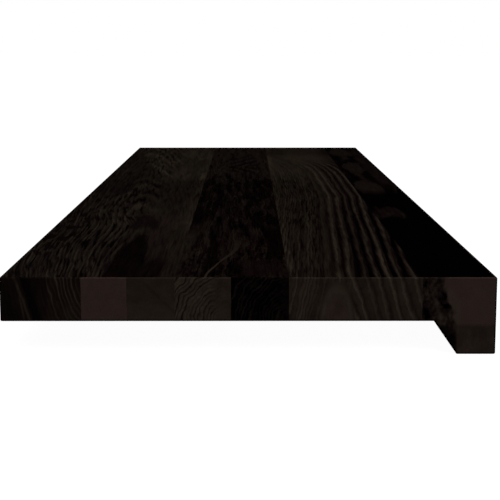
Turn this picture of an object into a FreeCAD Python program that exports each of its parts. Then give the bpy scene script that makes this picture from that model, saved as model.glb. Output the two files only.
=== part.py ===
import FreeCAD, Part
import os
import Sketcher

# Stair tread: full-length oak staves glued edge to edge into one panel, with a deeper stave along
# the front that hangs down as the nosing. The glued panel is then moulded to one section and all
# its outer edges are eased, so the staves are slices of one machined form.
#
# Frame, in millimetres: +X points to the nosing, +Y runs along the tread and +Z is up. The origin
# is at mid length and mid going, level with the nosing's underside.

doc = FreeCAD.newDocument("stair_tread")
sheet = doc.addObject("Spreadsheet::Sheet", "Sizes")

# The staves from the back edge to the nosing, with their widths across the tread
STAVES = [
    ("back_stave", 49.0),
    ("second_stave", 27.5),
    ("third_stave", 29.0),
    ("fourth_stave", 34.0),
    ("fifth_stave", 35.0),
    ("wide_stave", 80.5),
    ("nosing_stave", 45.0),
]

# The other sizes that can be set by themselves
SIZES = [
    ("tread_length", 1000.0, "length of the tread, from end to end"),
    ("board_thickness", 27.0, "thickness of the panel behind the nosing"),
    ("nose_drop", 20.5, "how far the nosing hangs below the panel"),
    ("nose_foot", 23.5, "width of the nosing's flat underside"),
    ("nose_splay", 14.0, "run of the sloping face behind the nosing"),
    ("arris_radius", 1.0, "radius that eases every outer edge"),
    ("saw_overrun", 5.0, "how far each slicing blank reaches past the tread"),
]


def write_row(row, alias, content, note):
    """Put one value, its name and its meaning in a row of the sheet."""
    sheet.set(f"A{row}", alias)
    sheet.set(f"B{row}", str(content))
    sheet.set(f"C{row}", note)
    sheet.setAlias(f"B{row}", alias)


def fill_sheet():
    """Write the driving sizes first, then the places that follow from them."""
    rows = []
    for alias, value, note in SIZES:
        rows.append((alias, value, note))
    for stave, width in STAVES:
        rows.append((f"{stave}_width", width, "width of this stave"))

    all_widths = " + ".join(f"{stave}_width" for stave, width in STAVES)
    rows.append(("tread_going", f"={all_widths}", "depth from back edge to nosing"))
    rows.append(("nose_height", "=board_thickness + nose_drop", "full height of the front edge"))
    glue_line = "-tread_going / 2"
    for stave, width in STAVES:
        rows.append((f"{stave}_start", f"={glue_line}", "X of the side of this stave nearer the back"))
        glue_line = f"{stave}_start + {stave}_width"

    for row, (alias, content, note) in enumerate(rows, start=1):
        write_row(row, alias, content, note)
    doc.recompute()


def origin_plane(body, role):
    """Find one of the body's own origin planes by its role."""
    for feature in body.Origin.OriginFeatures:
        if feature.Role == role:
            return feature
    raise RuntimeError(f"no origin plane {role}")


def bind_dimension(sketch, name, constraint, expression):
    """Add a dimension to the sketch and tie it to the sheet."""
    index = sketch.addConstraint(constraint)
    sketch.renameConstraint(index, name)
    sketch.setExpression(f"Constraints.{name}", expression)


def draw_section(body):
    """Draw the tread's cross-section, clockwise from the back top corner."""
    sketch = body.newObject("Sketcher::SketchObject", "section")
    sketch.AttachmentSupport = [(origin_plane(body, "XZ_Plane"), "")]
    sketch.MapMode = "FlatFace"

    half_going = sheet.tread_going / 2
    top_level = sheet.nose_height
    panel_underside = sheet.nose_drop
    foot_back = half_going - sheet.nose_foot
    splay_top = foot_back - sheet.nose_splay
    corners = [
        FreeCAD.Vector(-half_going, top_level, 0),
        FreeCAD.Vector(half_going, top_level, 0),
        FreeCAD.Vector(half_going, 0, 0),
        FreeCAD.Vector(foot_back, 0, 0),
        FreeCAD.Vector(splay_top, panel_underside, 0),
        FreeCAD.Vector(-half_going, panel_underside, 0),
    ]
    for start, end in zip(corners, corners[1:] + corners[:1]):
        sketch.addGeometry(Part.LineSegment(start, end), False)
    top, front, foot, splay, underside, back = range(len(corners))

    line_start, line_end = 1, 2
    x_axis, z_axis = -1, -2
    for line in range(len(corners)):
        following = (line + 1) % len(corners)
        sketch.addConstraint(Sketcher.Constraint("Coincident", line, line_end, following, line_start))
    for line in (foot, underside):
        sketch.addConstraint(Sketcher.Constraint("Horizontal", line))
    for line in (front, back):
        sketch.addConstraint(Sketcher.Constraint("Vertical", line))
    sketch.addConstraint(Sketcher.Constraint("PointOnObject", foot, line_start, x_axis))
    sketch.addConstraint(Sketcher.Constraint("Symmetric", top, line_start, top, line_end, z_axis))

    bind_dimension(
        sketch, "going",
        Sketcher.Constraint("DistanceX", top, line_start, top, line_end, 2 * half_going),
        "Sizes.tread_going",
    )
    bind_dimension(
        sketch, "thickness",
        Sketcher.Constraint("DistanceY", back, line_start, back, line_end, top_level - panel_underside),
        "Sizes.board_thickness",
    )
    bind_dimension(
        sketch, "drop",
        Sketcher.Constraint("DistanceY", splay, line_start, splay, line_end, panel_underside),
        "Sizes.nose_drop",
    )
    bind_dimension(
        sketch, "foot",
        Sketcher.Constraint("DistanceX", foot, line_end, foot, line_start, half_going - foot_back),
        "Sizes.nose_foot",
    )
    bind_dimension(
        sketch, "splay",
        Sketcher.Constraint("DistanceX", splay, line_end, splay, line_start, foot_back - splay_top),
        "Sizes.nose_splay",
    )
    return sketch


def make_machined_form():
    """Mould the whole tread as one form: the section at full length, then the eased edges."""
    body = doc.addObject("PartDesign::Body", "machined_form")
    section = draw_section(body)

    pad = body.newObject("PartDesign::Pad", "full_length")
    pad.Profile = section
    pad.SideType = "Symmetric"
    pad.setExpression("Length", "Sizes.tread_length")
    doc.recompute()

    eased = body.newObject("PartDesign::Fillet", "eased_edges")
    eased.Base = (pad, [""])
    eased.UseAllEdges = True
    eased.setExpression("Radius", "Sizes.arris_radius")
    body.Tip = eased
    doc.recompute()
    return body


def make_stave(machined_form, stave):
    """Cut one stave out of the machined form, between its two glue lines."""
    blank = doc.addObject("Part::Box", f"{stave}_blank")
    blank.setExpression("Length", f"Sizes.{stave}_width")
    blank.setExpression("Width", "Sizes.tread_length + 2 * Sizes.saw_overrun")
    blank.setExpression("Height", "Sizes.nose_height + 2 * Sizes.saw_overrun")
    blank.setExpression("Placement.Base.x", f"Sizes.{stave}_start")
    blank.setExpression("Placement.Base.y", "-Sizes.tread_length / 2 - Sizes.saw_overrun")
    blank.setExpression("Placement.Base.z", "-Sizes.saw_overrun")

    piece = doc.addObject("Part::Common", stave)
    piece.Label = stave
    piece.Base = machined_form
    piece.Tool = blank
    piece.Placement = FreeCAD.Placement()
    return piece


def check_document(pieces, machined_form):
    """Stop if a feature failed, a stave isn't one sound solid, or wood went missing."""
    for feature in doc.Objects:
        if "Invalid" in feature.State or "Error" in feature.State:
            raise RuntimeError(f"{feature.Label} failed: {feature.State}")
    for piece in pieces:
        if piece.Shape.isNull() or not piece.Shape.isValid() or len(piece.Shape.Solids) != 1:
            raise RuntimeError(f"{piece.Label} isn't one sound solid")

    whole = machined_form.Shape.Volume
    summed = sum(piece.Shape.Volume for piece in pieces)
    volume_tolerance = 1e-6
    if abs(summed - whole) > whole * volume_tolerance:
        raise RuntimeError(f"the staves hold {summed:.1f} mm3 of the form's {whole:.1f} mm3")


fill_sheet()
machined_form = make_machined_form()
pieces = [make_stave(machined_form, stave) for stave, width in STAVES]
doc.recompute()
check_document(pieces, machined_form)

os.makedirs("parts", exist_ok=True)
for piece in pieces:
    box = piece.Shape.BoundBox
    print(
        f"{piece.Label}: X {box.XMin:.1f} to {box.XMax:.1f}, Z {box.ZMin:.1f} to {box.ZMax:.1f}, "
        f"{piece.Shape.Volume / 1000:.1f} cm3, {len(piece.Shape.Faces)} faces"
    )
    piece.Shape.exportStep(f"parts/{piece.Label}.step")
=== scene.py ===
# %% [markdown]
# A stair tread of black-stained oak, glued up from full-length staves and moulded along its front to
# a deep nosing. The staves come from the CAD frame with their real sizes and eased edges, and they
# stay as they are. What is left to do here is the looks: the camera, a pale floor, soft light, and a
# finish for each stave. We load the frame first and read the tread's size from it, so that nothing
# below has to repeat it.

# %% Load the frame
import math

import bpy
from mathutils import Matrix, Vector


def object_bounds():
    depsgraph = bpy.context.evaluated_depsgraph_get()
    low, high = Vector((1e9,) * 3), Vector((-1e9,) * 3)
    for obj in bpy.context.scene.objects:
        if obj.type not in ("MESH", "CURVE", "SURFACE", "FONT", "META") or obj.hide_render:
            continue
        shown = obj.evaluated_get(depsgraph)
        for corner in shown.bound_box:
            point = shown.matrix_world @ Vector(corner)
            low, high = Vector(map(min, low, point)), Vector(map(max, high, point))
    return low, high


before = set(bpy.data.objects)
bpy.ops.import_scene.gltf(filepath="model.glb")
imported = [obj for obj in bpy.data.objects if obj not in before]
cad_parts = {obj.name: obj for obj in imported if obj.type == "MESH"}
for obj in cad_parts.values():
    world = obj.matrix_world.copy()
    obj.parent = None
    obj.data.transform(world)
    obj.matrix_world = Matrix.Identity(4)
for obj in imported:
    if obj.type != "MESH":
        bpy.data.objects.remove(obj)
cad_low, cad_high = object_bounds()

MILLIMETRE = 0.001
going_mm = (cad_high.x - cad_low.x) / MILLIMETRE
length_mm = (cad_high.y - cad_low.y) / MILLIMETRE
height_mm = (cad_high.z - cad_low.z) / MILLIMETRE
print("staves:", sorted(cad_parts))
print(f"tread: {going_mm:.1f} x {length_mm:.1f} x {height_mm:.1f} mm")

# %% [markdown]
# The view looks along the tread from just above one end, so that the end face is seen nearly
# square-on and the top face runs away to a vanishing point. Such a view can be made by shifting the
# lens or by tilting the camera. A shift would stay in every other view of the tread, so the camera is
# tilted, and its lens is long enough to keep the upright edges of the end face nearly parallel.

# %% Camera
CAMERA_BEFORE_END = 0.7434
CAMERA_HEIGHT = 0.1836
CAMERA_ASIDE = -0.0007
CAMERA_TILT = math.radians(9.126)
CAMERA_TURN = math.radians(-0.130)
SENSOR_MM = 36.0
LENS_MM = 90.49

camera_data = bpy.data.cameras.new("camera")
camera_data.sensor_width = SENSOR_MM
camera_data.lens = LENS_MM
camera = bpy.data.objects.new("camera", camera_data)
camera.location = (CAMERA_ASIDE, cad_low.y - CAMERA_BEFORE_END, CAMERA_HEIGHT)
camera.rotation_euler = (math.pi / 2 - CAMERA_TILT, 0.0, CAMERA_TURN)
bpy.context.scene.collection.objects.link(camera)
bpy.context.scene.camera = camera
bpy.context.scene.view_settings.view_transform = "Standard"
print(f"camera: {LENS_MM} mm lens, {math.degrees(CAMERA_TILT):.1f} degrees down")

# %% [markdown]
# Every finish below is node maths. Written as nodes and links, even a short formula is long, so a
# small class wraps a socket and gives it Python's operators. Each operator adds its own Math node,
# and the formula reads like the one on paper. "rises" is the tool used most: it turns a distance
# into a soft mask, which is how one kind of wood passes into another without a hard line.

# %% Sockets with operators
class Reading:
    """A number that is read at every point of a surface: a socket that Python's operators work on."""

    def __init__(self, nodes, socket):
        self.nodes = nodes
        self.socket = socket

    def __add__(self, other):
        return self.nodes.math("ADD", self, other)

    def __radd__(self, other):
        return self.nodes.math("ADD", other, self)

    def __sub__(self, other):
        return self.nodes.math("SUBTRACT", self, other)

    def __rsub__(self, other):
        return self.nodes.math("SUBTRACT", other, self)

    def __mul__(self, other):
        return self.nodes.math("MULTIPLY", self, other)

    def __truediv__(self, other):
        return self.nodes.math("DIVIDE", self, other)

    def floor(self):
        return self.nodes.math("FLOOR", self)

    def root(self):
        return self.nodes.math("SQRT", self)

    def size(self):
        """The number without its sign."""
        return self.nodes.math("ABSOLUTE", self)

    def at_least(self, least):
        return self.nodes.math("MAXIMUM", self, least)

    def at_most(self, most):
        return self.nodes.math("MINIMUM", self, most)

    def rises(self, start, end):
        """A mask that goes smoothly from 0 at start to 1 at end. It falls where end is the smaller."""
        limits = {"Value": self, "From Min": start, "From Max": end}
        mapped = self.nodes.add("ShaderNodeMapRange", {"interpolation_type": "SMOOTHSTEP"}, limits)
        return Reading(self.nodes, mapped.outputs["Result"])

    def between(self, start, end, soft):
        """A mask that is 1 between start and end, with edges that are soft wide."""
        half = soft / 2
        return self.rises(start - half, start + half) * self.rises(end + half, end - half)


print("sockets know:", [name for name in vars(Reading) if not name.endswith("__")])

# %% [markdown]
# All other nodes go through one method as well. It sets the node's own settings before its sockets,
# because a setting such as a Math node's operation can change which sockets there are.

# %% Node trees
class Nodes:
    """The node tree of one material or world, and the one way to add a node to it."""

    def __init__(self, tree):
        self.tree = tree
        self.tree.nodes.clear()

    def add(self, kind, settings=None, sockets=None):
        """Add a node, set it up, then give its sockets their values or links."""
        node = self.tree.nodes.new(kind)
        for name, value in (settings or {}).items():
            if name == "stops":
                self.set_stops(node.color_ramp, value)
            else:
                setattr(node, name, value)
        for name, value in (sockets or {}).items():
            if isinstance(value, Reading):
                value = value.socket
            if isinstance(value, bpy.types.NodeSocket):
                self.tree.links.new(value, node.inputs[name])
            else:
                node.inputs[name].default_value = value
        return node

    def set_stops(self, ramp, stops):
        """Place a ramp's stops, each a position and a colour or a grey."""
        while len(ramp.elements) < len(stops):
            ramp.elements.new(1.0)
        for element, (position, colour) in zip(ramp.elements, stops):
            element.position = position
            element.color = (colour,) * 3 + (1.0,) if isinstance(colour, float) else (*colour, 1.0)

    def math(self, operation, *values):
        sockets = dict(enumerate(values))
        return Reading(self, self.add("ShaderNodeMath", {"operation": operation}, sockets).outputs[0])


print("node trees are ready")

# %% [markdown]
# The floor is a plain pale sheet. A white floor under light strong enough to look white would also
# flood the dark wood, so most of the floor's white is its own glow, which only the camera sees. The
# rest is matt paint that takes the tread's soft shadow. Far out, where the softboxes no longer reach,
# the room's fill on the paint makes up for what the glow lacks, so that the floor meets the white
# room without a line.

# %% Floor
FLOOR_HALF = 40.0
FLOOR_GLOW = 0.968
FLOOR_PAINT = 0.30

bpy.ops.mesh.primitive_plane_add(size=2 * FLOOR_HALF, location=(0.0, 0.0, cad_low.z))
floor = bpy.context.object
floor.name = "floor"
floor.visible_diffuse = False
floor.visible_glossy = False

floor_material = bpy.data.materials.new("pale_floor")
floor_material.use_nodes = True
floor_nodes = Nodes(floor_material.node_tree)
glow = floor_nodes.add("ShaderNodeEmission", None, {"Color": (FLOOR_GLOW,) * 3 + (1.0,)})
paint = floor_nodes.add("ShaderNodeBsdfDiffuse", None, {"Color": (FLOOR_PAINT,) * 3 + (1.0,)})
both = floor_nodes.add("ShaderNodeAddShader", None, {0: paint.outputs[0], 1: glow.outputs[0]})
floor_nodes.add("ShaderNodeOutputMaterial", None, {"Surface": both.outputs[0]})
floor.data.materials.append(floor_material)
print(f"floor: {2 * FLOOR_HALF:.0f} m square at Z {cad_low.z:.4f}")

# %% [markdown]
# The room is white to the eye and dim as a light. The camera sees a white backdrop, and the wood
# gets only an even, weak fill from all sides. It isn't mirrored in the wood, because a white room in
# a dark matt surface would lie over the figure like a grey veil.

# %% Room
BACKDROP_WHITE = 1.0
ROOM_FILL = 0.11

world = bpy.data.worlds.new("room")
world.use_nodes = True
room_nodes = Nodes(world.node_tree)
seen = room_nodes.add("ShaderNodeLightPath")
strength = Reading(room_nodes, seen.outputs["Is Camera Ray"]) * (BACKDROP_WHITE - ROOM_FILL) + ROOM_FILL
white_light = {"Color": (1.0, 1.0, 1.0, 1.0), "Strength": strength}
white = room_nodes.add("ShaderNodeBackground", None, white_light)
room_nodes.add("ShaderNodeOutputWorld", None, {"Surface": white.outputs[0]})
bpy.context.scene.world = world
world.cycles_visibility.glossy = False
print(f"room: fill {ROOM_FILL}")

# %% [markdown]
# Two large softboxes light the tread, the stronger one from the side of the near end and the nosing.
# Both stand at about 45 degrees, so an eased edge faces the light more squarely than the faces that
# it joins, and shows as the fine bright line that such an edge has. A softbox is an area light, and
# this helper hangs one by the compass: azimuth 0 is straight before the near end.

# %% Softboxes
def add_softbox(name, azimuth, elevation, distance, power, size):
    """Hang a square softbox round the tread, aimed at its middle."""
    azimuth = math.radians(azimuth)
    elevation = math.radians(elevation)
    flat = math.cos(elevation)
    direction = Vector((math.sin(azimuth) * flat, -math.cos(azimuth) * flat, math.sin(elevation)))
    light = bpy.data.lights.new(name, "AREA")
    light.energy = power
    light.shape = "SQUARE"
    light.size = size
    softbox = bpy.data.objects.new(name, light)
    softbox.location = direction * distance
    softbox.rotation_euler = direction.to_track_quat("Z", "Y").to_euler()
    bpy.context.scene.collection.objects.link(softbox)
    print(f"{name}: {power} W at {distance} m")
    return softbox


near_softbox = add_softbox("near_softbox", azimuth=25, elevation=42, distance=2.6, power=15.0, size=1.6)
far_softbox = add_softbox("far_softbox", azimuth=205, elevation=48, distance=2.8, power=8.0, size=1.6)
for softbox in (near_softbox, far_softbox):
    softbox.visible_glossy = False

# %% [markdown]
# Oil on wood gives a soft sheen where a light is mirrored towards the eye. Seen along the tread
# there is none, and the wood looks black. From the sides there should be some, or the tread is a
# black shape with no form. So the sheen has its own small lights, which only reflections see. They
# hang where a view from the side, from behind or square on the nosing mirrors them.

# %% Sheen lights
SHEEN_LIGHTS = [
    ("back_sheen", 229, 26, 3.4),
    ("front_sheen", 50, 17, 2.6),
    ("side_sheen", 90, 9, 2.6),
]
for name, azimuth, elevation, power in SHEEN_LIGHTS:
    sheen_light = add_softbox(name, azimuth, elevation, distance=3.0, power=power, size=1.2)
    sheen_light.visible_diffuse = False

# %% [markdown]
# Wood is solid: a growth ring that shows on the top goes down through the stave and shows on its end
# too. An image laid on each face would break at every edge, so the figure is worked out from where a
# point lies inside the tread, in millimetres: how far across from the back edge, how far along from
# the near end, and how deep under the top. Object coordinates give that, turned and scaled once.

# %% Places in the wood
END_STARTS = 0.9
END_IS_FULL = 0.6


class Wood(Nodes):
    """The finish of one stave: its node tree, and where in the tread each point of it lies."""

    def __init__(self, stave):
        self.stave = stave
        self.material = bpy.data.materials.new(stave)
        self.material.use_nodes = True
        super().__init__(self.material.node_tree)
        corner = (-cad_low.x / MILLIMETRE, -cad_low.y / MILLIMETRE, cad_high.z / MILLIMETRE)
        coordinates = self.add("ShaderNodeTexCoord")
        measured = self.add("ShaderNodeMapping", None, {
            "Vector": coordinates.outputs["Object"],
            "Location": corner,
            "Scale": (1 / MILLIMETRE, 1 / MILLIMETRE, -1 / MILLIMETRE),
        })
        self.place = measured.outputs["Vector"]
        places = self.add("ShaderNodeSeparateXYZ", None, {"Vector": self.place})
        self.across, self.along, self.depth = (Reading(self, output) for output in places.outputs)

    def at_ends(self):
        """A mask of the two sawn end faces, which begins half-way round their eased edges."""
        inside_end = length_mm / 2 - (self.along - length_mm / 2).size()
        return inside_end.rises(END_STARTS, END_IS_FULL)


print("wood is measured in millimetres from the back corner of the near end")

# %% [markdown]
# Nothing in wood is even, so every pattern below is bent or broken by noise. A Mapping node before
# the Noise texture sets the size of its lumps in millimetres, and moves it to a place of its own so
# that two noises never match. Fibres run along the stave: a streak is noise that is stretched about
# sixteen times in that direction.

# %% Noise and streaks
NOISE_SWING = 3.0
STREAK_LENGTH = 16.0
STREAK_DEPTH = 2.0
SEED_STEPS = (7.3, 3.1, 5.7)


def noise(wood, size, seed, detail=1.0, place=None):
    """Smooth noise, mostly from -1 to 1, with lumps of a size in millimetres."""
    stretched = wood.add("ShaderNodeMapping", None, {
        "Vector": wood.place if place is None else place,
        "Location": [seed * step for step in SEED_STEPS],
        "Scale": [1 / side for side in size],
    })
    lumps = {"Vector": stretched.outputs["Vector"], "Scale": 1.0, "Detail": detail}
    cloud = wood.add("ShaderNodeTexNoise", None, lumps)
    return wood.math("MULTIPLY_ADD", cloud.outputs["Fac"], NOISE_SWING, -NOISE_SWING / 2)


def streaks(wood, width, seed):
    """Streaks along the grain, mostly from -1 to 1, of a width in millimetres."""
    return noise(wood, (width, width * STREAK_LENGTH, width * STREAK_DEPTH), seed, detail=2.0)


print(f"a streak is {STREAK_LENGTH:.0f} times as long as it is wide")

# %% [markdown]
# A growth ring is the wood of one year: pale and open where it grew in spring, dark and dense where
# it ended in autumn. Any figure is then two things, a count of rings that grows from place to place,
# and a curve that says how light the wood is on its way through one ring. The curve is a ramp on the
# fraction of the count. The whole part of the count seeds a dice, so each year has its own strength.
# Two more helpers say where a pattern is laid: one blends two values by a mask, and one is the mask
# of a soft-edged patch on the top.

# %% Growth rings
def profile(wood, part, stops):
    """Follow a curve of greys over a part that goes from 0 to 1."""
    ramp = wood.add("ShaderNodeValToRGB", {"stops": stops}, {"Fac": part})
    return Reading(wood, ramp.outputs["Color"])


def chance(wood, number):
    """A random value from 0 to 1 that is the same wherever the number is the same."""
    dice = wood.add("ShaderNodeTexWhiteNoise", {"noise_dimensions": "1D"}, {"W": number})
    return Reading(wood, dice.outputs["Value"])


def rings(wood, count, curve, least):
    """Draw every ring by one curve. The faintest ring keeps the least share of its strength."""
    year = count.floor()
    return profile(wood, count - year, curve) * (chance(wood, year) * (1 - least) + least)


def blend(first, second, mask):
    """The first value where the mask is 0, the second where it is 1."""
    return first + (second - first) * mask


def field(wood, across, along, soft_across, soft_along):
    """A mask of a soft-edged field of the top, between two limits across and two along."""
    return wood.across.between(*across, soft_across) * wood.along.between(*along, soft_along)


SHARP_LINE = [(0.0, 0.0), (0.35, 0.15), (0.6, 1.0), (0.85, 0.1), (1.0, 0.0)]
BROAD_LINE = [(0.0, 0.0), (0.25, 0.35), (0.5, 0.9), (0.62, 1.0), (0.78, 0.35), (0.9, 0.0), (1.0, 0.0)]
print("a ring has", len(BROAD_LINE), "stops")

# %% [markdown]
# The stain is nearly black, and its brown shows only where the wood took less of it. To judge such
# dark colours they are written as tones: the grey level, out of 255, that the wood has on the
# screen. Working back through the screen's curve and the light on a face gives the paint, whose red
# is 1.4 times as strong as its grey. The darker the wood, the less green and blue are left. The ends
# drink more stain and are lit more squarely than the top, so each has a ramp of its own. Two staves
# show a redder wood than the rest.

# %% Stain colours
FULL_TONE = 40.0
SCREEN_LEVELS = 255.0
LIGHT_ON_FACES = 0.245
LIGHT_ON_ENDS = 0.29
RED_STRENGTH = 1.4


def reflectance(level, light):
    """How much light paint returns that looks as light as a grey level under this light."""
    shade = level / SCREEN_LEVELS
    linear = ((shade + 0.055) / 1.055) ** 2.4 if shade > 0.04045 else shade / 12.92
    return linear / light


def stain_stops(light, shares):
    """Make a ramp's stops from tones, each with its green and blue as shares of its red."""
    stops = []
    for level, green, blue in shares:
        red = reflectance(level, light) * RED_STRENGTH
        stops.append((level / FULL_TONE, (red, red * green, red * blue)))
    return stops


BROWN = [
    (0, 1.0, 1.0), (5, 0.28, 0.18), (10, 0.55, 0.46),
    (15, 0.69, 0.47), (20, 0.71, 0.46), (40, 0.76, 0.49),
]
END_BROWN = [
    (0, 1.0, 1.0), (5, 0.50, 0.43), (12, 0.56, 0.42),
    (20, 0.69, 0.47), (28, 0.69, 0.50), (40, 0.75, 0.54),
]
RED = [(0, 1.0, 1.0), (10, 0.60, 0.53), (25, 0.58, 0.50), (40, 0.62, 0.52)]
FACE_STAINS = (stain_stops(LIGHT_ON_FACES, BROWN), stain_stops(LIGHT_ON_FACES, RED))
END_STAINS = (stain_stops(LIGHT_ON_ENDS, END_BROWN), stain_stops(LIGHT_ON_ENDS, RED))
print("brown stain at tone 20:", [round(channel, 4) for channel in FACE_STAINS[0][4][1]])

# %% [markdown]
# Under the figure lies the small grain. Oak is full of open vessels: cut lengthwise they are dark
# dashes between fine fibres, and cut across they are pores. Both are small noise, in levels of tone,
# and the relief further down follows them, so that the sheen breaks up along the grain. Larger
# flecks, where many vessels lie together, run with the rings and not with the board. They take a
# place of their own, in which the way across has been bent before the noise is read.

# %% Fibres, pores and flecks
FIBRE_SIZE = (0.9, 45.0, 0.9)
PORE_SIZE = (0.5, 7.0, 0.5)
END_PORE_SIZE = (0.9, 8.0, 0.9)
FLECK_SIZE = (1.6, 42.0, 4.0)
FIBRE_TONES = 3.4
PORE_TONES = 3.5
END_PORE_TONES = 2.2


def flecks(wood, seed, bent_across):
    """A mask of short dark dashes that follow lines of equal bent_across."""
    bent = wood.add("ShaderNodeCombineXYZ", None, {"X": bent_across, "Y": wood.along, "Z": wood.depth})
    return noise(wood, FLECK_SIZE, seed, detail=1.0, place=bent.outputs["Vector"]).rises(-0.05, 0.4)


def long_grain(wood, seed):
    """The small grain of a planed long face, in levels of tone."""
    fibres = noise(wood, FIBRE_SIZE, seed, detail=2.0)
    pores = noise(wood, PORE_SIZE, seed + 1, detail=0.0).rises(0.35, 0.75)
    return fibres * FIBRE_TONES - pores * PORE_TONES


def end_grain(wood, seed):
    """The small grain of a sawn end, in levels of tone."""
    return noise(wood, END_PORE_SIZE, seed) * END_PORE_TONES


print(f"fibres are {FIBRE_SIZE[0]} mm wide and {FIBRE_SIZE[1]:.0f} mm long")

# %% [markdown]
# Round an end's outline a painted shade darkens its eased edges nearly to black, all but the top
# edge, which gets a painted highlight: a shade lighter. This helper measures how deep a point of the
# section lies inside the outline, from the same few sizes as the moulding.

# %% Distance from the outline
PANEL_MM = 27.0
SPLAY_START_MM = 262.5
SPLAY_NORMAL = (0.826, 0.564)


def outline_distance(wood):
    """How far a point of the section lies inside the tread's outline."""
    splay = (wood.across - SPLAY_START_MM) * SPLAY_NORMAL[0] - (wood.depth - PANEL_MM) * SPLAY_NORMAL[1]
    below = wood.math("MAXIMUM", PANEL_MM - wood.depth, splay).at_most(height_mm - wood.depth)
    return below.at_most(wood.across).at_most(going_mm - wood.across)


print(f"the panel is {PANEL_MM} mm of the nosing's {height_mm:.1f} mm")

# %% [markdown]
# The finish of a stave takes four readings: a tone and a redness for its long faces, and a tone and
# a redness for its ends. It mixes the stains by them, lets the pale wood be a little smoother than
# the dark, and raises the pale wood with a Bump node. The specular level is low and the same all
# over, as on wood that is oiled and not varnished, so it is set on the socket itself. A Mix node has
# sockets for every kind of data, so its mask, its two colours and its result are taken by number.

# %% Stave finish
MIX_SOCKETS = (0, 6, 7)
MIX_RESULT = 2
# The next five sizes set a painted shade along the outline of an end and a painted highlight on its top
# edge.
PAINTED_SHADE_EDGE = (1.2, 0.7)
BELOW_TOP_EDGE = (1.0, 2.0)
TOP_EDGE = (0.95, 0.5)
PAINTED_HIGHLIGHT_SHARE = 0.08
PAINTED_SHADE_STRENGTH = 0.9
ROUGHNESS = 0.46
PALE_SMOOTHNESS = 0.12
SPECULAR_LEVEL = 0.18
RELIEF_METRES = 0.0004
RELIEF_STRENGTH = 0.35


def mix_colours(wood, first, second, mask):
    """The first colour where the mask is 0, the second where it is 1."""
    values = dict(zip(MIX_SOCKETS, (mask, first, second)))
    return wood.add("ShaderNodeMix", {"data_type": "RGBA"}, values).outputs[MIX_RESULT]


def stain_colour(wood, tone, redness, stains):
    """Look a tone up in the brown and in the red stain, and mix the two."""
    brown, red = (
        wood.add("ShaderNodeValToRGB", {"stops": stops}, {"Fac": tone / FULL_TONE}).outputs["Color"]
        for stops in stains
    )
    return mix_colours(wood, brown, red, redness)


def finish_stave(wood, face_tone, face_redness, end_tone, end_redness):
    """Turn tones into the stain's colour, add sheen and relief, and give the finish to its stave."""
    at_ends = wood.at_ends()
    # Painted shade: an end's eased edges, all but the top one, are darkened nearly to black.
    painted_shade_mask = outline_distance(wood).rises(*PAINTED_SHADE_EDGE) * wood.depth.rises(*BELOW_TOP_EDGE)
    # Painted highlight: the top edge of an end is made a little lighter.
    painted_highlight_mask = wood.depth.rises(*TOP_EDGE)
    end_tone = blend(end_tone, 1.0, painted_shade_mask * PAINTED_SHADE_STRENGTH) + painted_highlight_mask * end_tone * PAINTED_HIGHLIGHT_SHARE
    faces = stain_colour(wood, face_tone, face_redness, FACE_STAINS)
    ends = stain_colour(wood, end_tone, end_redness, END_STAINS)
    height = blend(face_tone, end_tone, at_ends) / FULL_TONE
    relief = wood.add("ShaderNodeBump", None, {
        "Height": height,
        "Distance": RELIEF_METRES,
        "Strength": RELIEF_STRENGTH,
    })
    shader = wood.add("ShaderNodeBsdfPrincipled", None, {
        "Base Color": mix_colours(wood, faces, ends, at_ends),
        "Roughness": ROUGHNESS - height * PALE_SMOOTHNESS,
        "Specular IOR Level": SPECULAR_LEVEL,
        "Normal": relief.outputs["Normal"],
    })
    wood.add("ShaderNodeOutputMaterial", None, {"Surface": shader.outputs[0]})
    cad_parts[wood.stave].material_slots[0].material = wood.material
    print(f"{wood.stave}: {len(wood.tree.nodes)} nodes")


print(f"roughness: {ROUGHNESS} on black wood, {ROUGHNESS - PALE_SMOOTHNESS:.2f} on the palest")

# %% [markdown]
# The three back staves are cut from one board, and its figure runs on over their glue lines. It is
# flat-sawn: the saw passed beside the heart of the trunk, so the rings are tubes that it cuts at a
# slant. On the top such tubes draw nested flames. To get them, the count of rings is the distance
# from a heart line that dives away under the board, and the innermost flame, where no ring is
# crossed, stays dark. The lines left of it fan out towards the back edge. They lean most at the near
# end, run straight for a while, lean again beside the flame's tip, and then a little all the way.

# %% Rings round a sloping heart
FLAME_AXIS = 73.0
HEART_DEPTH = 14.9
HEART_SLOPE = 0.05
HEART_FLATTENING = 0.6
FINE_RING = 2.3
NEAR_FAN = 28.0
TIP_FAN = 10.0
FAR_LEAN = 0.04


def flame_lean(wood):
    """How far the lines of the back board have drifted towards its back edge since the near end."""
    along = wood.along + noise(wood, (16.0, 60.0, 30.0), seed=14) * 12.0
    near_part = (along.rises(-150.0, 150.0) - 0.5) * wood.across.rises(80.0, 20.0) * NEAR_FAN
    tip_part = along.rises(190.0, 340.0) * wood.across.rises(100.0, 55.0) * TIP_FAN
    far_part = (wood.along - 310.0).at_least(0.0) * FAR_LEAN
    return near_part + tip_part + far_part


def distance_from(offset, lift):
    """How far a point is from a heart line that lies offset beside it and lift under or over it."""
    return (offset * offset + lift * lift).root()


def flame_distance(wood):
    """How far a point is from the heart line of the back board."""
    wander = noise(wood, (30.0, 150.0, 40.0), seed=1) * 0.7
    offset = wood.across - FLAME_AXIS + wander + flame_lean(wood)
    lift = (wood.along * HEART_SLOPE + wood.depth + HEART_DEPTH) * HEART_FLATTENING
    raggedness = wood.across.rises(74.0, 40.0) * 0.9 + 0.4
    return distance_from(offset, lift) + streaks(wood, 4.5, seed=2) * raggedness


print(f"the flame's axis is {FLAME_AXIS} mm from the back edge")

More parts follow.
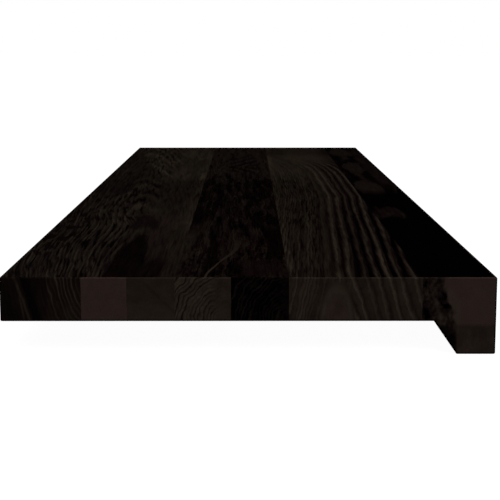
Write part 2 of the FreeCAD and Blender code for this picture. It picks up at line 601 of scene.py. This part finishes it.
# %% [markdown]
# The tone of the back board is built up in layers, the way a picture is painted. The ground is the
# broad light and dark, with the rings and the flecks that follow them. Left of the flame the flecks
# are close and dark, and right of it the wood is calmer. Beyond the middle the board is lighter.

# %% Ground of the back board
BACK_BOARD_TONE = 15.8
PALE_FIELD = ((40.0, 60.0), (160.0, 270.0), 14.0, 60.0)


def flame_ground(wood, distance, broad, medium, narrow):
    """The back board's broad light and dark, and the rings and flecks in it."""
    left = wood.across.rises(74.0, 52.0)
    far = wood.along.rises(470.0, 640.0)
    dashes = flecks(wood, 13, wood.across + flame_lean(wood)) * (broad.rises(-0.7, 0.3) * 0.6 + 0.5)
    ring_lines = rings(wood, distance / FINE_RING, BROAD_LINE, least=0.4)
    tone = BACK_BOARD_TONE + left * 1.0 + far * 6.5 + (ring_lines - 0.4) * (left * 12.0 + 3.0)
    tone = tone + broad * 4.5 + medium * 5.0 + narrow * 2.6 - dashes * (left * 8.0 + 5.0)
    tone = tone + field(wood, *PALE_FIELD) * 3.5
    return tone + wood.along.between(230.0, 365.0, 90.0) * 2.2


print(f"the back board's ground has tone {BACK_BOARD_TONE}")

# %% [markdown]
# Then comes what covers the ground. The dark flame stands on a dark foot at the near end, and a
# second, fainter flame stands over its tip.

# %% Two flames
FLAME_EDGE = 14.2
FLAME_TIP = 186.0
FLAME_FOOT = (61.0, 96.0)
SECOND_FLAME = (15.6, 17.8)
SECOND_FLAME_ALONG = (205.0, 293.0)


def add_flames(wood, tone, distance, medium, narrow):
    """Lay the two dark flames over the back board's tone, and the foot that the first stands on."""
    second_flame = distance.between(*SECOND_FLAME, 0.8)
    second_flame = second_flame * wood.along.between(*SECOND_FLAME_ALONG, 16.0)
    tone = blend(tone, 7.0 + narrow * 3.0, second_flame * 0.75)
    flame = distance.rises(FLAME_EDGE + 0.5, FLAME_EDGE - 0.6)
    flame = flame * wood.along.rises(FLAME_TIP, FLAME_TIP - 18.0)
    tone = blend(tone, 3.0 + narrow * 2.5, flame * 0.94)
    foot = (wood.along + medium * 20.0).rises(95.0, 40.0) * wood.across.between(*FLAME_FOOT, 6.0)
    return blend(tone, 4.5 + narrow * 5.0, foot * 0.88)


print(f"the flame is {FLAME_TIP:.0f} mm long")

# %% [markdown]
# Near the back edge the wood breaks up round small knots, and past the middle a dim wedge lies along
# it. A few dark lines run near the glue line there.

# %% Knots and a wedge
KNOTS_ALONG = (80.0, 330.0)
WEDGE_WIDTH = 50.0
WEDGE_MIDDLE = 600.0
WEDGE_ALONG = (440.0, 940.0)
LINED_FIELD = ((88.0, 99.0), (440.0, 620.0), 5.0, 50.0)


def add_dark_places(wood, tone, medium):
    """Lay the small knots, the dim wedge and the dark lines over the back board's tone."""
    knots = noise(wood, (6.0, 24.0, 6.0), seed=6, detail=2.0).rises(-0.05, 0.3)
    knotty = wood.across.rises(34.0, 18.0) * wood.along.between(*KNOTS_ALONG, 60.0)
    tone = blend(tone, 3.0, knots * knotty * 0.85)
    wedge_edge = WEDGE_WIDTH - (wood.along - WEDGE_MIDDLE).size() * 0.11
    wedge = (wedge_edge - wood.across + medium * 5.0).rises(-6.0, 6.0)
    wedge = wedge * wood.along.between(*WEDGE_ALONG, 60.0)
    tone = blend(tone, tone * 0.55 + 4.0, wedge)
    return tone - field(wood, *LINED_FIELD) * (medium * 9.0 + 3.0).at_least(0.0)


print(f"the knots lie {KNOTS_ALONG[0]:.0f} to {KNOTS_ALONG[1]:.0f} mm from the near end")

# %% [markdown]
# The layers go one over another, and a bright band along the glue line comes last. Redness is a mask
# of its own, because the red wood and the dark wood don't lie in the same places.

# %% Figure of the back board
BRIGHT_BAND = (99.5, 106.0)
RED_FIELD = ((77.0, 90.0), (90.0, 270.0), 6.0, 60.0)


def flame_board(wood):
    """Tone of the three back staves on their long faces."""
    distance = flame_distance(wood)
    broad = noise(wood, (22.0, 120.0, 30.0), seed=3, detail=2.0)
    medium = streaks(wood, 6.0, seed=4)
    narrow = streaks(wood, 2.2, seed=5)
    tone = flame_ground(wood, distance, broad, medium, narrow)
    tone = add_flames(wood, tone, distance, medium, narrow)
    tone = add_dark_places(wood, tone, medium)
    bright_band = wood.across.between(*BRIGHT_BAND, 3.0) * wood.along.rises(110.0, 190.0)
    bright_spot = wood.across.rises(88.0, 98.0) * wood.along.between(205.0, 250.0, 25.0)
    return tone + bright_band * (2.0 + medium * 4.0) + bright_spot * 3.5


def flame_redness(wood):
    """Where the back board is redder: a patch beside the flame, and vague clouds elsewhere."""
    clouds = noise(wood, (26.0, 90.0, 30.0), seed=7).rises(0.1, 0.9) * 0.6
    return (field(wood, *RED_FIELD) + clouds).at_most(1.0)


print(f"the bright band is {BRIGHT_BAND[1] - BRIGHT_BAND[0]} mm wide")

# %% [markdown]
# The back stave's end shows the same rings from the side. They stand on edge in its inner half and
# are sharpest near the top. The outer half is dark and plain, but for a pale line that leans inwards
# and forks on its way down, and the black wood beside it.

# %% Back stave
BACK_END_TONE = 7.7
BLACK_WOOD = (12.3, 16.8)
PALE_LINE_START = 8.9
FORK_START = 9.7

wood = Wood("back_stave")
lift = (wood.depth + HEART_DEPTH) * HEART_FLATTENING
ragged = noise(wood, (7.0, 60.0, 14.0), seed=8, detail=2.0) * 1.3
ring_count = (distance_from(wood.across - FLAME_AXIS, lift) + ragged) / FINE_RING
ring_lines = rings(wood, ring_count, SHARP_LINE, least=0.3)
stained = noise(wood, (6.0, 60.0, 16.0), seed=9, detail=2.0)
inner = wood.across.rises(22.0, 32.0)
ring_swing = inner * (18.0 - wood.depth.rises(10.0, 20.0) * 10.0) + 2.0
end_tone = BACK_END_TONE + inner * 7.0 + stained * 4.5 + (ring_lines - 0.25) * ring_swing
black_wood = (wood.across - wood.depth * 0.3 + stained * 1.5).between(*BLACK_WOOD, 2.0)
end_tone = blend(end_tone, 2.5, black_wood * 0.9)
pale_line = (wood.across - PALE_LINE_START - wood.depth * 0.36 + ragged * 0.6).size().rises(1.6, 0.2)
fork = (wood.across - FORK_START - wood.depth * 0.2 + ragged * 0.5).size().rises(1.2, 0.2)
pale_line = pale_line.at_least(fork * wood.depth.rises(10.0, 17.0))
end_tone = end_tone + pale_line * (10.0 + stained * 6.0)
face_tone = flame_board(wood) + long_grain(wood, seed=10)
finish_stave(wood, face_tone, flame_redness(wood), end_tone + end_grain(wood, seed=12), 0.0)

# %% [markdown]
# The second stave's end is the plainest of all and the reddest. Its rings lie flat against the cut,
# so only a soft cloud is left of them.

# %% Second stave
SECOND_END_TONE = 30.5

wood = Wood("second_stave")
end_tone = SECOND_END_TONE + noise(wood, (6.0, 60.0, 7.0), seed=20, detail=2.0) * 2.6
face_tone = flame_board(wood) + long_grain(wood, seed=10)
finish_stave(wood, face_tone, flame_redness(wood), end_tone + end_grain(wood, seed=12), 1.0)

# %% [markdown]
# The third stave's end is a cloudy brown that lightens downwards, crossed by one faint slanting line
# that the saw left.

# %% Third stave
THIRD_END_TONE = 20.5
SAW_LINE_START = 84.0

wood = Wood("third_stave")
cloud = noise(wood, (8.0, 60.0, 6.0), seed=30, detail=2.0)
saw_line = (wood.across - SAW_LINE_START - wood.depth * 0.95 + cloud * 3.0).size().rises(1.8, 0.2)
saw_line = saw_line * wood.depth.between(4.0, 22.0, 4.0)
end_tone = THIRD_END_TONE + wood.depth.rises(12.0, 20.0) * 3.5 + cloud * 3.6 - saw_line * 2.5
face_tone = flame_board(wood) + long_grain(wood, seed=10)
finish_stave(wood, face_tone, flame_redness(wood), end_tone + end_grain(wood, seed=12), 0.0)

# %% [markdown]
# The fourth and fifth staves are one dark board. Two marks stand out on it. Towards the far end the
# rings of an old branch draw a few dark chevrons, and one pale streak starts at the near end and
# swings forward like a long S.

# %% Chevrons and a pale streak
CHEVRON_TIP = (132.0, 712.0)
CHEVRONS_ACROSS = (130.0, 160.0)
CHEVRONS_ALONG = (640.0, 860.0)
CHEVRON_STEEPNESS = 0.36
CHEVRON_RING = 17.0
STREAK_START = 124.0
STREAK_SWING = 18.5
DARK_LINE = [(0.0, 1.0), (0.2, 1.0), (0.36, 0.0), (0.72, 0.0), (0.86, 1.0), (1.0, 1.0)]


def chevrons(wood, bent):
    """A mask of the dark chevrons, whose tips point to the back edge."""
    from_tip = (wood.along - CHEVRON_TIP[1]).size() * CHEVRON_STEEPNESS
    count = (wood.across - CHEVRON_TIP[0] - from_tip + bent * 5.0) / CHEVRON_RING
    place = (wood.across + bent * 4.0).between(*CHEVRONS_ACROSS, 9.0)
    place = place * wood.along.between(*CHEVRONS_ALONG, 70.0)
    return rings(wood, count, DARK_LINE, least=0.5) * place


def pale_streak(wood, bent):
    """A mask of the pale streak, which is thin at the near end and widens as it fades."""
    middle_line = STREAK_START + (wood.along + bent * 5.0).rises(0.0, 125.0) * STREAK_SWING
    half_width = 0.9 + wood.along.rises(50.0, 120.0) * 0.9
    off_middle = (wood.across - middle_line).size() / half_width
    return off_middle.rises(1.5, 0.4) * wood.along.rises(168.0, 112.0)


print(f"the chevrons point back {CHEVRON_TIP[1]:.0f} mm from the near end")

# %% [markdown]
# The dark board took the most stain, so what shows of the rest are soft black blotches on a dull
# brown, smaller and more broken at the near end and merged in the middle. Fine lighter lines swirl
# between them. Two pits beside the glue lines are blackest, and two fields are a little lighter. Past
# the middle the wood is calm.

# %% Figure of the dark board
DARK_BOARD_TONE = 13.5
SWIRL_RING = 3.2
LIGHTER_FIELD = ((104.0, 124.0), (75.0, 185.0), 8.0, 50.0)
MIDDLE_FIELD = ((124.0, 144.0), (275.0, 430.0), 10.0, 70.0)
FRONT_PIT = ((163.0, 176.0), (85.0, 215.0), 5.0, 50.0)
BACK_PIT = ((100.0, 113.0), (235.0, 345.0), 5.0, 30.0)
DULL_FIELD = ((146.0, 172.0), (5.0, 65.0), 8.0, 16.0)


def blotches(wood, broad, calm):
    """A mask of the black blotches, which are broken up at the near end and merged in the middle."""
    clumps = noise(wood, (4.5, 62.0, 10.0), seed=41, detail=3.0)
    crumbs = noise(wood, (2.4, 13.0, 5.0), seed=44, detail=1.0) * wood.along.rises(160.0, 60.0)
    merged = wood.along.between(230.0, 560.0, 120.0)
    return (clumps + broad * 0.5 + crumbs * 0.6 + merged * 0.3 - calm * 0.2).rises(-0.2, 0.45)


def dark_board(wood):
    """Tone of the fourth and fifth staves on their long faces."""
    broad = noise(wood, (13.0, 90.0, 30.0), seed=40, detail=2.0)
    narrow = streaks(wood, 1.8, seed=42)
    dashes = flecks(wood, 43, wood.across)
    calm = wood.along.rises(520.0, 700.0)
    swirls = rings(wood, (wood.across + broad * 9.0) / SWIRL_RING, SHARP_LINE, least=0.2)
    tone = DARK_BOARD_TONE + calm * 2.6 + narrow * 3.0 + broad * 3.5
    tone = tone - blotches(wood, broad, calm) * 10.5 - dashes * 3.5 + (swirls - 0.2) * 9.5
    tone = tone + field(wood, *LIGHTER_FIELD) * 4.0 + field(wood, *MIDDLE_FIELD) * 3.0
    pits = field(wood, *FRONT_PIT) + field(wood, *BACK_PIT)
    tone = blend(tone, 2.0, pits * 0.85)
    tone = blend(tone, 2.5, chevrons(wood, broad) * 0.95)
    tone = blend(tone, 8.5 + narrow * 2.0, field(wood, *DULL_FIELD) * 0.8)
    streak_tone = 26.0 - wood.along.rises(20.0, 130.0) * 8.0
    return blend(tone, streak_tone, pale_streak(wood, broad))


def dark_redness(wood):
    """Where the dark board is redder: vague clouds all over."""
    return noise(wood, (24.0, 90.0, 30.0), seed=45).rises(-0.2, 0.8) * 0.6


print(f"the dark board's ground has tone {DARK_BOARD_TONE}")

# %% [markdown]
# On the ends the two staves of the dark board differ. The fourth is as light as its neighbours and
# shows dark arched rings, broken by the oak's rays, which fade towards the heart that they surround.
# The fifth is the blackest end of the tread, with a trace of lighter arches round a heart of its own.

# %% Fourth and fifth staves
HEARTS_UNDER_TOP = 29.5
DARK_BOARD_ENDS = (
    ("fourth_stave", 50, 141.0, 21.7, -30.0, 6.0),
    ("fifth_stave", 60, 182.0, 4.0, 14.0, 4.2),
)


def arch_lines(wood, seed, heart):
    """Arched rings on an end of the dark board, which fade towards the heart that they surround."""
    offset = wood.across - heart
    ripple = noise(wood, (8.0, 60.0, 8.0), seed, detail=2.0) * 2.2
    ring_count = (distance_from(offset, wood.depth - HEARTS_UNDER_TOP) + ripple) / FINE_RING
    arches = rings(wood, ring_count, SHARP_LINE, least=0.15)
    clear = (offset + ripple * 2.0).rises(-7.0, -18.0) * 0.85 + 0.15
    broken = noise(wood, (1.8, 60.0, 1.8), seed + 3).rises(-0.7, 0.3) * 0.6 + 0.4
    return (arches - 0.28) * clear * broken


for stave, seed, heart, plain_tone, arch_tones, cloud_tones in DARK_BOARD_ENDS:
    wood = Wood(stave)
    cloud = noise(wood, (6.0, 60.0, 6.0), seed + 1, detail=2.0)
    end_tone = plain_tone + arch_lines(wood, seed, heart) * arch_tones + cloud * cloud_tones
    end_tone = end_tone + end_grain(wood, seed + 2)
    face_tone = dark_board(wood) + long_grain(wood, seed=46)
    finish_stave(wood, face_tone, dark_redness(wood), end_tone, 0.0)

# %% [markdown]
# The wide stave is the showpiece. Its back half is fine straight grain. In its front half the rings
# are wide and strong, pale spring wood against black autumn wood. All of them drift forward up to
# the middle, and towards the far end they bend back and fade. Even rings would look like a printed
# stripe, so their spacing drifts, their edges are ragged and each line comes and goes along its
# length.

# %% Wide growth rings
BOLD_RING = 7.3
BOLD_START = 206.6
RING_SLANT = 0.33
STRAIGHT_ALONG = (420.0, 560.0)
NEAR_SLANT = 0.047
FAR_LENGTH = 440.0
FAR_BEND = 125.0
BOLD_LINE = [
    (0.0, 0.0), (0.12, 0.05), (0.3, 0.6), (0.44, 1.0), (0.56, 0.9), (0.66, 0.4), (0.78, 0.5),
    (0.9, 0.05), (1.0, 0.0),
]


def wide_drift(wood):
    """How far across the rings of the wide stave lie from where they are at its middle."""
    near = (STRAIGHT_ALONG[0] - wood.along).at_least(0.0)
    far = (wood.along - STRAIGHT_ALONG[1]).at_least(0.0) / FAR_LENGTH
    return near * -NEAR_SLANT - far * far * far * FAR_BEND


def bold_count(wood):
    """Count of the wide growth rings in the front half of the wide stave."""
    wander = noise(wood, (40.0, 130.0, 40.0), seed=70) * 0.9
    spacing = noise(wood, (9.0, 260.0, 30.0), seed=71) * 1.7
    ragged = noise(wood, (2.5, 26.0, 5.0), seed=72, detail=2.0) * 0.9
    offset = wood.across - BOLD_START - wide_drift(wood) - wood.depth * RING_SLANT
    return (offset + wander + spacing + ragged) / BOLD_RING


print(f"wide rings start {BOLD_START} mm from the back edge, one each {BOLD_RING} mm")

# %% [markdown]
# The fine rings of the back half drift as the wide ones do, but lean the other way with depth. Past
# the middle of the stave they calm down.

# %% Fine growth rings
FINE_HALF_TONE = 17.8
STRAW_RING = 2.2
STRAW_SLANT = 0.22
STRAW_LINE = [(0.0, 0.1), (0.3, 0.6), (0.6, 1.0), (0.8, 0.7), (0.92, 0.0), (1.0, 0.1)]


def straw_lines(wood):
    """Fine straight rings of the back half of the wide stave."""
    bent = noise(wood, (4.0, 60.0, 8.0), seed=73, detail=2.0) * 1.6
    offset = wood.across - wide_drift(wood) + wood.depth * STRAW_SLANT
    return rings(wood, (offset + bent) / STRAW_RING, STRAW_LINE, least=0.1)


def fine_half(wood, medium, narrow, dashes):
    """Tone of the back half, which calms down past the middle."""
    calm = wood.along.rises(470.0, 700.0)
    tone = FINE_HALF_TONE + (straw_lines(wood) - 0.4) * 15.0 + medium * 4.0 + narrow * 3.0
    return tone + calm * 6.5 - dashes * (7.5 - calm * 4.5)


print(f"fine rings: one each {STRAW_RING} mm")

# %% [markdown]
# The two halves are drawn by themselves and blended along a soft edge. The black between the wide
# rings deepens towards the nosing, and near the glue line at the near end it swallows the rings. Past
# the middle the bold half fades into plain brown, which is a shade darker along its front edge. At
# the far end the whole stave is darker.

# %% Figure of the wide stave
BOLD_HALF_TONE = 10.0
HALVES_MEET = 217.5
JOINT_BAND = (173.0, 179.0)
GLOOM_START = 251.0


def bold_half(wood, edge, medium, narrow, dashes):
    """Tone of the front half, in front of an edge. Its ground blackens towards the nosing."""
    deepening = (wood.across - edge).rises(0.0, 26.0)
    line = rings(wood, bold_count(wood), BOLD_LINE, least=0.65) * (1.0 + narrow * 0.35)
    tone = (1.0 - deepening) * BOLD_HALF_TONE + line * (18.0 + deepening * 12.0)
    tone = tone + medium * 3.0 - dashes * 3.0 + wood.along.rises(150.0, 620.0) * (9.0 - line * 4.0)
    tone = blend(tone, 23.0 + line * 5.0 + medium * 2.0, wood.along.rises(660.0, 850.0))
    return tone - wood.across.rises(236.0, 252.0) * wood.along.rises(620.0, 780.0) * 7.0


def wide_board(wood):
    """Tone of the wide stave on its long faces."""
    medium = streaks(wood, 5.0, seed=74)
    narrow = streaks(wood, 2.0, seed=75)
    dashes = flecks(wood, 76, wood.across - wide_drift(wood))
    edge = wide_drift(wood).at_least(-20.0) + HALVES_MEET
    fine = fine_half(wood, medium, narrow, dashes)
    bold = bold_half(wood, edge, medium, narrow, dashes)
    tone = blend(fine, bold, (wood.across - edge).rises(-5.0, 5.0))
    tone = tone - wood.along.rises(840.0, 900.0) * 5.0
    joint_band = wood.across.between(*JOINT_BAND, 4.0) * 4.0
    gloom = (wood.across - GLOOM_START).rises(0.0, 2.5) * wood.along.rises(120.0, 60.0)
    return blend(tone + joint_band, 1.0, gloom)


print(f"the halves of the wide stave meet {HALVES_MEET} mm from the back edge")

# %% [markdown]
# On the end of the wide stave the same wide rings run down at a slant, now as thin pale lines on
# brown. Where they begin stands a flat pale arch, with plain redder wood inside it. The arch belongs
# to the near end only: it is where a branch ended.

# %% Wide stave
THIN_LINE = [
    (0.0, 0.3), (0.2, 0.45), (0.38, 0.4), (0.5, 1.0), (0.6, 0.85), (0.72, 0.3), (0.86, 0.0), (1.0, 0.3),
]
ARCH_LINE = [(0.0, 0.5), (0.42, 0.5), (0.48, 1.0), (0.53, 0.8), (0.58, 0.0), (0.7, 0.3)]
ARCH_MIDDLE = 203.5
ARCH_FOOT = 30.0
ARCH_HALF_WIDTH = 9.0
ARCH_HEIGHT = 23.0
ARCH_TONE = 22.0
FINE_END_TONE = 23.6
BOLD_END_TONE = 20.5

wood = Wood("wide_stave")
cloud = noise(wood, (5.0, 60.0, 7.0), seed=77, detail=2.0)
fine_end = FINE_END_TONE + (straw_lines(wood) - 0.4) * 16.0
bold_end = BOLD_END_TONE + (rings(wood, bold_count(wood), THIN_LINE, least=0.6) - 0.35) * 19.0
end_tone = blend(fine_end, bold_end, wood.across.rises(206.0, 214.0))
arch_across = (wood.across - ARCH_MIDDLE) / ARCH_HALF_WIDTH
arch_up = (ARCH_FOOT - wood.depth) / ARCH_HEIGHT
arch = distance_from(arch_across, arch_up) + cloud * 0.05
near_end = wood.along.rises(700.0, 500.0)
arch_tone = ARCH_TONE + profile(wood, arch / 2.0, ARCH_LINE) * 7.0
end_tone = blend(end_tone, arch_tone, arch.rises(1.3, 1.1) * near_end) + cloud * 4.0
red_heart = arch.rises(1.0, 0.7) * near_end * 0.5
clouds = noise(wood, (26.0, 90.0, 30.0), seed=78).rises(0.2, 0.9) * 0.5
face_redness = clouds + wood.across.rises(212.0, 232.0) * 0.25
face_tone = wide_board(wood) + long_grain(wood, seed=79)
finish_stave(wood, face_tone, face_redness, end_tone + end_grain(wood, seed=81), red_heart)

# %% [markdown]
# The nosing stave is black on top, as if burnt. Past the middle of its length brown islands come
# through, each with a dark rim and a thin brown line round it, where the rings of a wavy trunk are
# cut like hills on a map. A wave along the stave and a swelling across it give the height of those
# hills, and one curve colours it. A brown strip runs beside them along the front edge, and one ragged
# brown patch lies nearer the near end.

# %% Figure of the nosing
ISLAND_SPACING = 205.0
ISLAND_MIDDLE = 700.0
ISLAND_ACROSS = 271.0
ISLAND_HALF_WIDTH = 8.5
ISLAND_TONES = 14.6
PATCH_MIDDLE = (268.0, 296.0)
PATCH_SIZE = (13.0, 46.0)
PATCH_TONES = 9.0
FRONT_STRIP = ((284.0, 310.0), (520.0, 960.0), 5.0, 120.0)
FRONT_STRIP_TONE = 12.5
BURNT_TONE = 0.6
ISLAND_CURVE = [
    (0.0, 0.85), (0.2, 1.0), (0.36, 0.85), (0.42, 0.15), (0.5, 0.05), (0.6, 0.3), (0.68, 0.75),
    (0.74, 0.15), (1.0, 0.1),
]


def nosing_top(wood):
    """Tone of the nosing's long faces, apart from the front."""
    ripple = noise(wood, (11.0, 70.0, 14.0), seed=90, detail=2.0)
    narrow = streaks(wood, 2.0, seed=91)
    wave = wood.math("COSINE", (wood.along - ISLAND_MIDDLE) * (2 * math.pi / ISLAND_SPACING))
    swell = (wood.across - ISLAND_ACROSS) / ISLAND_HALF_WIDTH
    hill = (swell * swell + (1.0 - wave) * 1.45 + wood.depth * 0.05).root() + ripple * 0.6
    islands = profile(wood, hill / 4.0, ISLAND_CURVE)
    far = wood.along.rises(410.0, 480.0)
    aside = (wood.across - PATCH_MIDDLE[0]) / PATCH_SIZE[0]
    ahead = (wood.along - PATCH_MIDDLE[1]) / PATCH_SIZE[1]
    patch = (aside * aside + ahead * ahead + ripple * 2.0).rises(1.3, 0.3)
    brown = islands * far * (narrow * 4.0 + ISLAND_TONES)
    brown = brown + patch * (1.0 - far) * (narrow * 8.0 + PATCH_TONES)
    strip_tone = FRONT_STRIP_TONE + ripple * 5.0 + narrow * 3.0
    return blend(brown + narrow * far + BURNT_TONE, strip_tone, field(wood, *FRONT_STRIP) * 0.8)


print(f"the islands lie {ISLAND_SPACING:.0f} mm apart, {ISLAND_ACROSS:.0f} mm from the back edge")

# %% [markdown]
# The front of the nosing is planed along the grain and shows fine dark streaks. Its end is mottled
# black and brown beside the glue line and plain and reddish in the front upper corner, with plain
# brown between the two and below them. The corner behind the foot is nearly black.

# %% Nosing stave
FRONT_TONE = 17.0
MOTTLED_TONE = 14.2
PLAIN_TONE = 29.6
MOTTLE_ENDS = 271.0
RED_STARTS = 264.5

wood = Wood("nosing_stave")
cloud = noise(wood, (9.0, 50.0, 12.0), seed=92, detail=2.0)
front_dashes = flecks(wood, 98, wood.depth)
front_tone = FRONT_TONE + streaks(wood, 2.4, seed=93) * 5.0 + streaks(wood, 7.0, seed=94) * 5.0
front_tone = front_tone - front_dashes * 6.0
face_tone = blend(nosing_top(wood), front_tone, wood.across.rises(going_mm - 3.0, going_mm - 0.5))
mottle = noise(wood, (5.0, 60.0, 7.5), seed=95, detail=2.0)
speckle = noise(wood, (1.8, 60.0, 2.6), seed=96, detail=1.0)
mottled_tone = MOTTLED_TONE + mottle * 20.0 + speckle * 9.0
low = wood.depth.rises(28.0, 31.0)
plain_tone = PLAIN_TONE - low * 8.0 + cloud * 1.6 + mottle * low * 6.5
mottle_edge = wood.across - wood.depth.rises(14.0, 22.0) * 5.5 + mottle * 2.0
mottled = mottle_edge.rises(MOTTLE_ENDS, MOTTLE_ENDS - 3.5)
end_tone = blend(plain_tone, mottled_tone, mottled)
splay_black = wood.across.rises(277.0, 274.5) * wood.depth.rises(28.0, 36.0)
end_tone = blend(end_tone, 2.5 + (speckle * 6.0).at_least(0.0), splay_black)
red_edge = wood.across - wood.depth.at_most(15.0) * 0.75
redness = (1.0 - low * 0.9) * red_edge.rises(RED_STARTS, RED_STARTS + 4.5) + 0.2
face_tone = face_tone + long_grain(wood, seed=97) * 0.5
finish_stave(wood, face_tone, 0.3, end_tone + end_grain(wood, seed=99), redness.at_most(1.0))

# %% [markdown]
# A finish must never change a size.

# %% [markdown]
